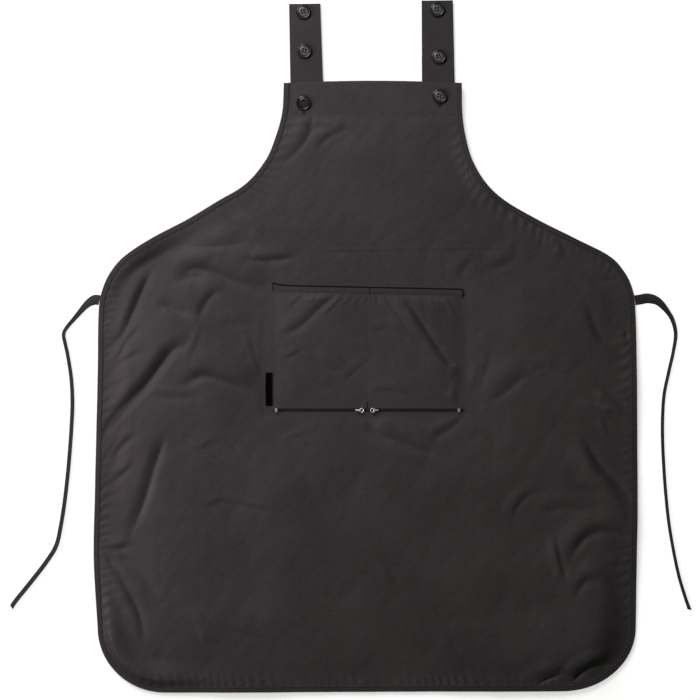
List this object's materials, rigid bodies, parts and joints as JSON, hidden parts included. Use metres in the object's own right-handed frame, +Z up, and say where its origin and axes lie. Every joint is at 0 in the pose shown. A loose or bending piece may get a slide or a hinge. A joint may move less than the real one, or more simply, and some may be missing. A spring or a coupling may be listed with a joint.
{
  "type": "bib apron",
  "caption": "Full-length dark bib apron laid out flat, with buttoned shoulder straps, bound edges, a divided patch pocket closed by zips at its bottom, and flat waist ties.",
  "frame": {"origin": "on the table, under the middle of the apron's box without the waist ties", "axes": "+X to the right across the apron as it is seen, +Y from the hem up to the straps, +Z up from the table"},
  "size_m": [0.8855, 0.899, 0.0127],
  "materials": {
    "polyester": "smooth charcoal polyester with a soft satin sheen",
    "tape": "folded charcoal tape, matt",
    "woven_tab": "black satin-woven tab, bare",
    "zip_nylon": "black nylon coil on woven tape",
    "nickel": "bright nickel",
    "button_resin": "polished blue-black resin"
  },
  "bodies": {
    "root": {"body_panel": "polyester", "edge_binding": "tape", "pocket_panel": "polyester", "pocket_binding": "tape", "label_tab": "woven_tab", "zip_chain_left": "zip_nylon", "zip_chain_right": "zip_nylon", "zip_stop_left": "nickel", "zip_stop_right": "nickel", "zip_slider_left": "nickel", "zip_slider_right": "nickel", "strap_left": "polyester", "strap_right": "polyester", "tie_left": "tape", "tie_right": "tape", "button_left_top": "button_resin", "button_left_middle": "button_resin", "button_left_bib": "button_resin", "button_right_top": "button_resin", "button_right_middle": "button_resin", "button_right_bib": "button_resin"},
    "pull_left": {"zip_pull_left": "nickel"},
    "pull_right": {"zip_pull_right": "nickel"}
  },
  "joints": [
    {"name": "pull_left_swing", "type": "hinge", "parent": "root", "child": "pull_left", "pos_m": [-0.0073, -0.0828, 0.00655], "axis": [0, -1, 0], "range_deg": [0, 170]},
    {"name": "pull_right_swing", "type": "hinge", "parent": "root", "child": "pull_right", "pos_m": [0.0115, -0.0828, 0.00655], "axis": [0, 1, 0], "range_deg": [0, 170]}
  ]
}
